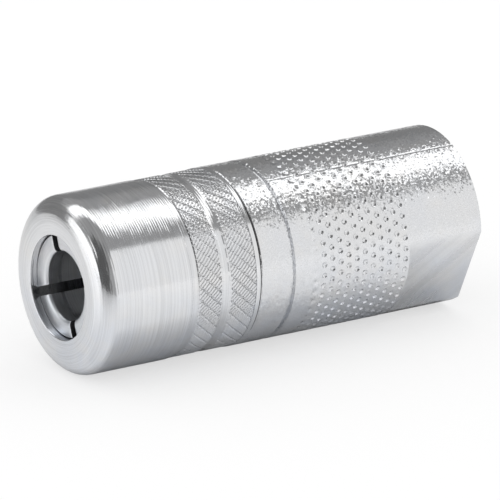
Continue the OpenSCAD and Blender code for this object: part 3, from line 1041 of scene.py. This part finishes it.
class COUPLER_OT_body(Operator):
    """Builds the body with its dimples, wrench flats and inlet thread"""

    bl_idname = "coupler.build_body"
    bl_label = "Body"

    def execute(self, context):
        scene = context.scene
        body = scene.coupler_body
        dimple = scene.coupler_dimple
        thread = scene.coupler_thread
        angles = even_angles(2 * dimple.around, dimple.roll)
        shell = Shell()
        radius = body.outer_radius
        rear = REAR_X - NOSE_X
        front = [
            (body.spigot_start, body.bore_radius),
            (body.spigot_start, body.spigot_radius - body.spigot_bevel),
            (body.spigot_start + body.spigot_bevel, body.spigot_radius),
            (body.shoulder, body.spigot_radius),
            (body.shoulder, radius - body.rim_bevel),
            (body.shoulder + body.rim_bevel, radius),
        ]
        front += groove(body.groove_start, body.groove_end, body.groove_depth, body.groove_side, radius)
        front += [(dimple.start, radius)]
        shell.chain(shell.rings(front, angles))

        flat_angles, flat_radii, on_flat = self.flat_section(body, angles)
        step = shell.ring(body.flat_start, radius, angles)
        foot = shell.ring(body.flat_start, flat_radii, flat_angles)
        edge_radii = [min(radius - body.rim_bevel, r - body.flat_bevel) for r in flat_radii]
        rear_start = [rear - (body.flat_bevel if flat else body.rim_bevel) for flat in on_flat]
        side = shell.ring(rear_start, flat_radii, flat_angles)
        edge = shell.ring(rear, edge_radii, flat_angles)
        mouth_radius = thread.minor_radius + thread.mouth_bevel
        face = shell.ring(rear, (mouth_radius + body.flat_distance) / 2, angles)
        mouth = shell.ring(rear, mouth_radius, angles)
        between = [a and b for a, b in zip(on_flat, on_flat[1:] + on_flat[:1])]
        shell.bridge(step, foot)
        shell.bridge(foot, side, MILLED, between)
        shell.bridge(side, edge)
        shell.chain([edge, face, mouth], TURNED)

        inner = [mouth]
        inner += self.thread_rings(shell, thread, rear - thread.mouth_bevel, angles)
        inner += shell.rings([
            (body.passage_end, body.passage_radius),
            (body.passage_start, body.passage_radius),
            (body.seat_start, body.check_radius),
            (body.bore_floor, body.check_radius),
            (body.bore_floor, body.bore_radius),
            (body.spigot_start, body.bore_radius),
        ], angles)
        shell.chain(inner, TURNED)

        obj = shell.make("body_shell", "thread")
        pitch = (body.flat_start - dimple.start) / dimple.columns
        tile = self.tile(dimple, pitch / 2, radius)
        finish = scene.coupler_finish
        turned = bpy.data.materials["turned_zinc"]
        add_rule(obj, thread_tree(bpy.data.node_groups["helical grooves"]), {
            "Pitch": thread.pitch,
            "Depth": thread.depth,
            "Crest": thread.crest_share,
            "Root": thread.root_share,
            "Material": turned,
        })
        add_rule(obj, dimple_tree(), {
            "Tile": tile,
            "Columns": dimple.columns,
            "Around": dimple.around,
            "First Column": NOSE_X + dimple.start + pitch / 2,
            "Column Pitch": pitch,
            "Roll": dimple.roll,
            "Depth": dimple.depth,
            "Least Depth": dimple.least,
            "Front Depth": dimple.front_share,
            "Faded Columns": dimple.faded,
            "Seed": dimple.seed,
            "Weld": WELD,
            "Material": grained_zinc(finish, radius),
            "Flat Material": milled_zinc(finish, body.flat_roll),
            "Turned Material": turned,
        })
        settle(obj)
        bpy.data.objects.remove(tile)
        clean(obj)
        seat(obj, "housing", "body_steel", "body")
        return {"FINISHED"}

    @staticmethod
    def flat_section(body, angles):
        """Angles and radii of the section through the flats, and which points lie on a flat."""
        half = math.acos(body.flat_distance / body.outer_radius)
        step = TURN / len(angles)
        snapped = list(angles)
        for middle in (body.flat_roll, body.flat_roll + math.pi):
            for corner in (middle - half, middle + half):
                k = round((corner - angles[0]) / step)
                snapped[k % len(angles)] = corner
        radii = []
        on_flat = []
        for turn in snapped:
            reach = abs(math.cos(turn - body.flat_roll))
            radii.append(min(body.outer_radius, body.flat_distance / max(reach, LEAST_REACH)))
            on_flat.append(reach > math.cos(half) - REACH_SLACK)
        return snapped, radii, on_flat

    @staticmethod
    def thread_rings(shell, thread, start, angles):
        """Close rings along the inlet's wall, marked where the thread cuts."""
        rows = round((start - thread.end) / thread.pitch * thread.detail)
        found = []
        for k in range(rows + 1):
            distance = start + (thread.end - start) * k / rows
            from_end = min(start - distance, distance - thread.end)
            cut = min(1.0, from_end / thread.run_out)
            found.append(shell.ring(distance, thread.minor_radius, angles, cut))
        return found

    @staticmethod
    def tile(dimple, half_length, radius):
        """One dimple and the bit of the body's skin round it, bent to the body's round."""
        half_width = math.pi / dimple.around * radius
        corners = [(1, 0), (1, 1), (0, 1), (-1, 1), (-1, 0), (-1, -1), (0, -1), (1, -1)]
        flat = [(half_length * x, half_width * y, 0.0) for x, y in corners]
        rim = len(corners)
        size = 2 * rim
        bowl = rim + size
        for part, press in ((1.0, -dimple.lip), (dimple.bowl_size, dimple.bowl_depth)):
            reach = dimple.radius * part
            flat += [(reach * math.cos(turn), reach * math.sin(turn), press) for turn in even_angles(size)]
        floor = len(flat)
        flat.append((0.0, 0.0, 1.0))
        faces = []
        for k in range(rim):
            near = [rim + (2 * k + i) % size for i in range(3)]
            faces.append((k, near[1], near[0]))
            faces.append((k, (k + 1) % rim, near[2], near[1]))
        for k in range(size):
            after = (k + 1) % size
            faces.append((rim + k, rim + after, bowl + after, bowl + k))
            faces.append((bowl + k, bowl + after, floor))
        points = [(x, radius * math.cos(y / radius), radius * math.sin(y / radius)) for x, y, _ in flat]
        obj = mesh_object("dimple_tile", points, faces)
        store(obj.data, "pit", "FLOAT", "POINT", [press for _, _, press in flat])
        return obj


class COUPLER_OT_jaws(Operator):
    """Builds the four jaws in the cap's mouth"""

    bl_idname = "coupler.build_jaws"
    bl_label = "Jaws"

    def execute(self, context):
        jaw = context.scene.coupler_jaw
        finish = context.scene.coupler_finish
        # The slot sides take the near-black cut tone, painted shade of the slots between the jaws
        steels = (jaw_steel(finish), bare_steel("cut_steel", finish.cut, 0.4, 0.6, TOOL_DEPTH))
        profile = self.profile(jaw)
        for k, body in enumerate(("jaw_a", "jaw_b", "jaw_c", "jaw_d")):
            obj = self.build(f"jaw_piece_{k + 1}", jaw, profile, jaw.roll + TURN / 4 * k)
            for steel in steels:
                obj.data.materials.append(steel)
            edges = obj.modifiers.new("edges", "BEVEL")
            edges.width = jaw.edge
            edges.segments = 2
            edges.limit_method = "ANGLE"
            edges.angle_limit = EDGE_ANGLE
            settle(obj)
            clean(obj)
            seat(obj, body, "jaw_steel", f"jaw_{k + 1}")
        return {"FINISHED"}

    @staticmethod
    def profile(jaw):
        """Outline of a jaw's section, as distances from the nose face and radii."""
        ring_front = jaw.ring_place - jaw.ring_width / 2
        ring_rear = jaw.ring_place + jaw.ring_width / 2
        edge = jaw.face_round
        points = arc(jaw.front + edge, jaw.cone_front - edge, edge, edge, 0, FACE_TURN, FACE_STEPS)
        points += [
            (jaw.cone_end, jaw.radius),
            (jaw.rear, jaw.radius),
            (jaw.rear, jaw.cavity),
            (ring_rear, jaw.cavity),
            (ring_rear, jaw.ring_groove),
            (ring_front, jaw.ring_groove),
            (ring_front, jaw.cavity),
            (jaw.throat_end + jaw.cavity - jaw.throat, jaw.cavity),
            (jaw.throat_end, jaw.throat),
        ]
        lead_s = jaw.front + jaw.lead_depth
        lead_r = jaw.throat + jaw.lead
        return points + arc(lead_s, lead_r, jaw.lead_depth, jaw.lead, -90, 0, LEAD_STEPS)

    @staticmethod
    def build(name, jaw, profile, middle):
        """Sweeps the profile round the axis between the planes of two slots."""
        points = []
        for k in range(jaw.steps + 1):
            side = 2 * k / jaw.steps - 1
            for distance, radius in profile:
                half = TURN / 8 - math.asin(jaw.slot / 2 / radius)
                points.append(spot(distance, radius, middle + side * half))
        size = len(profile)
        faces = []
        for k in range(jaw.steps):
            for i in range(size):
                j = (i + 1) % size
                faces.append((k * size + i, k * size + j, (k + 1) * size + j, (k + 1) * size + i))
        faces.append(tuple(range(size)))
        faces.append(tuple(jaw.steps * size + i for i in range(size)))
        obj = mesh_object(name, points, faces)
        for side in list(obj.data.polygons)[-2:]:
            side.material_index = 1
        mend(obj.data)
        return obj


class COUPLER_OT_springs(Operator):
    """Builds the main spring and the check valve's spring"""

    bl_idname = "coupler.build_springs"
    bl_label = "Springs"

    def execute(self, context):
        spring = context.scene.coupler_spring
        material = bare_steel("spring_wire", context.scene.coupler_finish.wire, 0.22, 0.4, WIRE_DEPTH)
        tree = coil_tree()
        self.wind(tree, spring, material, "main_coil", "main_spring", "piston_slide", True, (
            spring.main_radius, spring.main_wire, spring.main_turns, spring.main_travel))
        self.wind(tree, spring, material, "check_coil", "check_spring", "ball_lift", False, (
            spring.check_radius, spring.check_wire, spring.check_turns, spring.check_travel))
        dress("jaw_ring", material)
        return {"FINISHED"}

    @staticmethod
    def wind(tree, spring, material, name, node, joint, rests_behind, sizes):
        """Winds a spring over its solid's length; the joint and the end it rests on are not used."""
        radius, wire, turns, travel = sizes
        low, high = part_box(node)
        run = high.x - low.x
        obj = link(bpy.data.objects.new(name, bpy.data.meshes.new(name)))
        add_rule(obj, tree, {
            "Start": low.x,
            "Length": run,
            "Mean Radius": radius,
            "Wire": wire,
            "Open Turns": turns,
            "Closed Pitch": spring.closed_pitch,
            "Turn Points": spring.turn_points,
            "Wire Points": spring.wire_points,
            "Material": material,
        })
        settle(obj)
        clean(obj)
        seat(obj, "housing", "spring_wire", node)
        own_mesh(obj)


class COUPLER_OT_inner(Operator):
    """Finishes the inner pieces that keep their solids"""

    bl_idname = "coupler.finish_inner"
    bl_label = "Inner Pieces"

    def execute(self, context):
        finish = context.scene.coupler_finish
        steel = bare_steel("inner_steel", finish.inner, 0.24, 0.4, TOOL_DEPTH)
        rubber = seal_rubber(finish)
        dress("piston", steel)
        dress("spring_seat", steel)
        dress("seal", rubber)
        dress("piston_o_ring", rubber)
        dress("check_ball", bare_steel("ball_steel", finish.ball, 0.06, 0.12, POLISH_DEPTH))
        return {"FINISHED"}


class COUPLER_OT_stage(Operator):
    """Sets the floor, the light and the camera"""

    bl_idname = "coupler.set_stage"
    bl_label = "Stage"

    def execute(self, context):
        scene = context.scene
        studio = scene.coupler_studio
        scene.view_settings.view_transform = "Standard"
        self.camera(scene, studio)
        self.world(scene, studio)
        self.floor(studio)
        self.lamps(studio)
        self.panels(studio)
        return {"FINISHED"}

    @staticmethod
    def camera(scene, studio):
        flat = math.cos(studio.elevation)
        back = Vector((
            math.sin(studio.azimuth) * flat,
            -math.cos(studio.azimuth) * flat,
            math.sin(studio.elevation),
        ))
        data = bpy.data.cameras.new("camera")
        data.sensor_width = 36.0
        data.lens = studio.lens
        data.clip_start = 0.05
        data.clip_end = 5.0
        camera = link(bpy.data.objects.new("camera", data))
        camera.location = Vector(studio.target) + back * studio.distance
        camera.rotation_euler = (-back).to_track_quat("-Z", "Y").to_euler()
        scene.camera = camera

    @staticmethod
    def world(scene, studio):
        """White where it is seen or mirrored, and softer as light on matt surfaces."""
        world = bpy.data.worlds.new("studio_world")
        scene.world = world
        world.use_nodes = True
        kit = Kit(world.node_tree)
        path, mirrored = light_path(kit)
        first = kit.math("LESS_THAN", path["Diffuse Depth"], 0.5)
        seen = kit.math("MAXIMUM", path["Is Camera Ray"], kit.times(mirrored, first))
        lit = kit.spread(mirrored, 0.0, 1.0, studio.ambient, studio.thrown)
        background = world.node_tree.nodes["Background"]
        background.inputs["Color"].default_value = WHITE
        kit.feed(background.inputs["Strength"], kit.math("MAXIMUM", seen, lit))

    def floor(self, studio):
        """A round pale sheet under the part, whose colour where the metal mirrors it holds a painted shadow
        beside the part.
        """
        sides = 96
        rim = [self.rim(360 * k / sides, studio.floor_reach, CAD_BOX[0].z) for k in range(sides)]
        floor = mesh_object("floor", rim, [tuple(range(sides))])
        material, kit, place = new_material("floor")
        path, mirrored = light_path(kit)
        seen = path["Is Camera Ray"]
        x, y, _ = kit.split(place)
        # Painted shadow: where the metal mirrors the floor, its colour darkens beside the part, wider towards
        # the front, on top of its real shadow, and the mirrored glow is left out there
        narrowing = kit.spread(x, studio.wide_end, studio.narrow_start, studio.wide_share, 1.0)
        aside = kit.times(kit.math("ABSOLUTE", y), narrowing)
        beside = kit.spread(aside, studio.shade_near, studio.shade_far, 1.0, 0.0)
        behind = kit.spread(x, NOSE_X, NOSE_X + studio.shade_fade)
        painted_shadow = kit.times(beside, behind, mirrored)
        painted_shadow_tone = tuple(studio.shade * value for value in studio.floor)
        pale = tuple((1.0 - studio.glow) * value for value in studio.floor)
        under = tone(kit, painted_shadow, studio.floor, painted_shadow_tone)
        bright = kit.times(kit.minus(mirrored, painted_shadow), studio.bounce)
        inputs = material.node_tree.nodes["Principled BSDF"].inputs
        for name, value in (
            ("Base Color", tone(kit, seen, under, pale)),
            ("Roughness", studio.floor_rough),
            ("Specular IOR Level", kit.times(mirrored, studio.gloss)),
            ("Emission Color", WHITE),
            ("Emission Strength", kit.math("MULTIPLY_ADD", seen, studio.lift, bright)),
        ):
            kit.feed(inputs[name], value)
        floor.data.materials.append(material)

    @staticmethod
    def lamp(name, width, depth, brightness, place, turn):
        """A softbox of a given brightness, which shows only in reflections."""
        data = bpy.data.lights.new(name, "AREA")
        data.shape = "RECTANGLE"
        data.size = width
        data.size_y = depth
        data.energy = brightness * math.pi * width * depth
        lamp = link(bpy.data.objects.new(name, data))
        lamp.location = place
        lamp.rotation_euler = turn
        lamp.visible_camera = False
        lamp.visible_diffuse = False

    def lamps(self, studio):
        """A level softbox overhead and an upright one at the nose's side."""
        near = 0.1
        far = 0.475
        along = 0.15
        box_length = 3.0
        level = (0.0, 0.0, studio.tilt)
        shift = Vector((along, (near + far) / 2, 0.0))
        shift.rotate(Euler(level))
        overhead = (MIDDLE.x + shift.x, MIDDLE.y + shift.y, studio.height)
        self.lamp("softbox", box_length, far - near, studio.softbox, overhead, level)
        side_width = 0.7
        side_height = 0.34
        side_place = (-0.75, 0.35, 0.17)
        upright = (math.radians(90), 0.0, math.radians(-90))
        self.lamp("side_softbox", side_width, side_height, studio.side, side_place, upright)

    @staticmethod
    def rim(degrees, reach, up):
        """A point at an angle, a distance and a height from the part's middle."""
        turn = math.radians(degrees)
        return (MIDDLE.x + reach * math.cos(turn), MIDDLE.y + reach * math.sin(turn), up)

    def wall(self, start, end, foot, head):
        """Points and faces of a wall round the part, from its foot to its head, each a reach and a height."""
        steps = 12
        turns = [start + (end - start) * k / steps for k in range(steps + 1)]
        points = [self.rim(turn, *line) for turn in turns for line in (foot, head)]
        return points, [(2 * k, 2 * k + 1, 2 * k + 3, 2 * k + 2) for k in range(steps)]

    def panels(self, studio):
        """A ceiling and walls that show only in the metal's reflections, with their angles in degrees."""
        gap = 0.01
        top = studio.height + gap
        reach = 1.3
        left_reach = 0.55
        side_foot = 0.58
        steps = 24
        first = -20
        sweep = 294
        edge = [self.rim(first + sweep * k / steps, reach, top) for k in range(steps + 1)]
        open_edge = ((0.1, -0.9), (0.182, -0.654), (0.547, -0.532), (1.25, -0.55))
        edge += [(MIDDLE.x + x, MIDDLE.y + y, top) for x, y in open_edge]
        self.panel("ceiling", edge, [tuple(range(len(edge)))], studio.ceiling)
        low = (reach, -0.05)
        high = (reach, top)
        for name, start, end, foot, head, brightness in (
            ("back_wall", first, 136, low, high, studio.back),
            ("side_wall", 136, 181, (reach, side_foot), high, studio.ceiling),
            ("left_wall", 181, 236, low, (left_reach, top), studio.left),
            ("front_wall", 236, 272, low, high, studio.front),
        ):
            self.panel(name, *self.wall(start, end, foot, head), brightness)

    @staticmethod
    def panel(name, points, faces, brightness):
        material, kit, _ = new_material(name)
        kit.tree.nodes.clear()
        glow = kit.first("ShaderNodeEmission", {"Strength": brightness})
        kit.node("ShaderNodeOutputMaterial", {"Surface": glow})
        panel = mesh_object(name, points, faces)
        panel.data.materials.append(material)
        panel.visible_camera = False
        panel.visible_diffuse = False
        panel.visible_shadow = False


class COUPLER_PT_panel(Panel):
    """Lists the coupler's pieces and the stage"""

    bl_label = "Grease Coupler"
    bl_idname = "COUPLER_PT_panel"
    bl_space_type = "VIEW_3D"
    bl_region_type = "UI"
    bl_category = "Coupler"

    def draw(self, context):
        for operator in OPERATORS:
            self.layout.operator(operator.bl_idname)


SETTINGS = {
    "coupler_cap": CapSettings,
    "coupler_grip": GripSettings,
    "coupler_body": BodySettings,
    "coupler_dimple": DimpleSettings,
    "coupler_thread": ThreadSettings,
    "coupler_jaw": JawSettings,
    "coupler_spring": SpringSettings,
    "coupler_finish": FinishSettings,
    "coupler_studio": StudioSettings,
}
OPERATORS = (
    COUPLER_OT_cap,
    COUPLER_OT_body,
    COUPLER_OT_jaws,
    COUPLER_OT_springs,
    COUPLER_OT_inner,
    COUPLER_OT_stage,
)


def register():
    for name, group in SETTINGS.items():
        bpy.utils.register_class(group)
        setattr(bpy.types.Scene, name, PointerProperty(type=group))
    for operator in OPERATORS:
        bpy.utils.register_class(operator)
    bpy.utils.register_class(COUPLER_PT_panel)


def unregister():
    bpy.utils.unregister_class(COUPLER_PT_panel)
    for operator in reversed(OPERATORS):
        bpy.utils.unregister_class(operator)
    for name, group in reversed(SETTINGS.items()):
        delattr(bpy.types.Scene, name)
        bpy.utils.unregister_class(group)


def main():
    register()
    bpy.ops.coupler.build_cap()
    bpy.ops.coupler.build_body()
    bpy.ops.coupler.build_jaws()
    bpy.ops.coupler.build_springs()
    bpy.ops.coupler.finish_inner()
    bpy.ops.coupler.set_stage()


if __name__ == "__main__":
    main()
